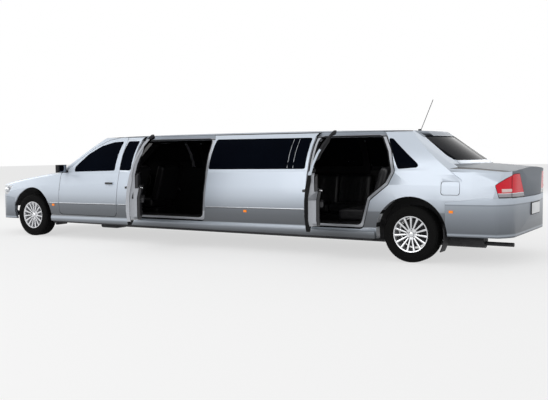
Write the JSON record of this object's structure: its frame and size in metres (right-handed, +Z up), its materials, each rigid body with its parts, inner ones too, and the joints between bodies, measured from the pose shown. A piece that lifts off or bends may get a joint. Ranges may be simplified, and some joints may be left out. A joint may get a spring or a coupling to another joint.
{
  "type": "stretch limousine",
  "caption": "Long-bodied saloon car with hinged side doors, bonnet, boot lid, fuel flap, coupled steering and rolling wheels; two left passenger doors stand open.",
  "frame": {"origin": "on the ground in the car's centre plane, midway between the axles", "axes": "+X forward, +Y to the car's left, +Z up"},
  "size_m": [8.115, 2.9789, 1.8339],
  "materials": {
    "body_paint": "light silver metallic",
    "dark_glass": "dark tinted",
    "clear_glass": "lightly tinted",
    "lamp_clear": "clear lamp lens",
    "lamp_red": "red lamp lens",
    "marker_orange": "orange lens",
    "tyre": "black",
    "alloy": "bright cast",
    "black_trim": "satin black",
    "dark_steel": "dull",
    "bare_steel": "dull",
    "leather_black": "soft",
    "underbody": "black sealer"
  },
  "bodies": {
    "car": {"left_side_frame": "body_paint", "right_side_frame": "body_paint", "fenders": "body_paint", "roof": "body_paint", "front_bumper": "body_paint", "rear_bumper": "body_paint", "fixed_glass": "dark_glass", "windscreen": "clear_glass", "headlamps": "lamp_clear", "tail_lamps": "lamp_red", "side_markers": "marker_orange", "grille": "black_trim", "cowl": "black_trim", "dashboard": "black_trim", "aerial": "black_trim", "engine": "dark_steel", "front_subframe": "dark_steel", "rear_axle": "dark_steel", "exhaust": "bare_steel", "front_seats": "leather_black", "rear_seat": "leather_black", "lounge_seat": "leather_black", "floor_pan": "underbody", "boot_floor": "underbody", "wheel_housings": "underbody"},
    "left_front_door": {"left_front_door": "body_paint", "left_front_door_glass": "dark_glass", "left_mirror": "body_paint"},
    "left_limo_door": {"left_limo_door": "body_paint", "left_limo_door_glass": "dark_glass"},
    "left_rear_door": {"left_rear_door": "body_paint", "left_rear_door_glass": "dark_glass"},
    "left_knuckle": {"left_knuckle": "dark_steel"},
    "right_front_door": {"right_front_door": "body_paint", "right_front_door_glass": "dark_glass", "right_mirror": "body_paint"},
    "right_limo_door": {"right_limo_door": "body_paint", "right_limo_door_glass": "dark_glass"},
    "right_rear_door": {"right_rear_door": "body_paint", "right_rear_door_glass": "dark_glass"},
    "right_knuckle": {"right_knuckle": "dark_steel"},
    "bonnet": {"bonnet": "body_paint"},
    "boot_lid": {"boot_lid": "body_paint"},
    "fuel_flap": {"fuel_flap": "body_paint"},
    "steering_wheel": {"steering_wheel": "black_trim"},
    "front_left_wheel": {"front_left_tyre": "tyre", "front_left_rim": "alloy"},
    "front_right_wheel": {"front_right_tyre": "tyre", "front_right_rim": "alloy"},
    "rear_left_wheel": {"rear_left_tyre": "tyre", "rear_left_rim": "alloy"},
    "rear_right_wheel": {"rear_right_tyre": "tyre", "rear_right_rim": "alloy"}
  },
  "joints": [
    {"name": "left_front_door_hinge", "type": "hinge", "parent": "car", "child": "left_front_door", "pos_m": [2.425, 0.932, 0.9], "axis": [0, 0, -1], "range_deg": [0, 68]},
    {"name": "left_limo_door_hinge", "type": "hinge", "parent": "car", "child": "left_limo_door", "pos_m": [1.035, 0.932, 0.9], "axis": [0, 0, -1], "range_deg": [-50, 16]},
    {"name": "left_rear_door_hinge", "type": "hinge", "parent": "car", "child": "left_rear_door", "pos_m": [-1.715, 0.932, 0.9], "axis": [0, 0, -1], "range_deg": [-62, 8]},
    {"name": "right_front_door_hinge", "type": "hinge", "parent": "car", "child": "right_front_door", "pos_m": [2.425, -0.932, 0.9], "axis": [0, 0, 1], "range_deg": [0, 68]},
    {"name": "right_limo_door_hinge", "type": "hinge", "parent": "car", "child": "right_limo_door", "pos_m": [1.035, -0.932, 0.9], "axis": [0, 0, 1], "range_deg": [0, 66]},
    {"name": "right_rear_door_hinge", "type": "hinge", "parent": "car", "child": "right_rear_door", "pos_m": [-1.715, -0.932, 0.9], "axis": [0, 0, 1], "range_deg": [0, 70]},
    {"name": "bonnet_hinge", "type": "hinge", "parent": "car", "child": "bonnet", "pos_m": [2.5, 0, 0.94], "axis": [0, -1, 0], "range_deg": [0, 55]},
    {"name": "boot_lid_hinge", "type": "hinge", "parent": "car", "child": "boot_lid", "pos_m": [-3.409, 0, 1.085], "axis": [0, 1, 0], "range_deg": [0, 75]},
    {"name": "fuel_flap_hinge", "type": "hinge", "parent": "car", "child": "fuel_flap", "pos_m": [-3.3585, 0.9045, 0.824], "axis": [0, 0, -1], "range_deg": [0, 80]},
    {"name": "left_steer", "type": "hinge", "parent": "car", "child": "left_knuckle", "pos_m": [3.015, 0.73, 0.314], "axis": [0, 0, 1], "range_deg": [-30, 30]},
    {"name": "right_steer", "type": "hinge", "parent": "car", "child": "right_knuckle", "pos_m": [3.015, -0.73, 0.314], "axis": [0, 0, 1], "range_deg": [-30, 30]},
    {"name": "steering_wheel_turn", "type": "hinge", "parent": "car", "child": "steering_wheel", "pos_m": [1.95, -0.37, 0.862], "axis": [-0.9063, 0, 0.4226], "range_deg": [-481, 481]},
    {"name": "front_left_wheel_spin", "type": "hinge", "parent": "left_knuckle", "child": "front_left_wheel", "pos_m": [3.015, 0.8, 0.314], "axis": [0, 1, 0], "continuous": true},
    {"name": "front_right_wheel_spin", "type": "hinge", "parent": "right_knuckle", "child": "front_right_wheel", "pos_m": [3.015, -0.8, 0.314], "axis": [0, 1, 0], "continuous": true},
    {"name": "rear_left_wheel_spin", "type": "hinge", "parent": "car", "child": "rear_left_wheel", "pos_m": [-3.015, 0.8, 0.314], "axis": [0, 1, 0], "continuous": true},
    {"name": "rear_right_wheel_spin", "type": "hinge", "parent": "car", "child": "rear_right_wheel", "pos_m": [-3.015, -0.8, 0.314], "axis": [0, 1, 0], "continuous": true}
  ],
  "couplings": [
    {"joint": "right_steer", "follows": "left_steer", "ratio": 1},
    {"joint": "steering_wheel_turn", "follows": "left_steer", "ratio": 16}
  ]
}
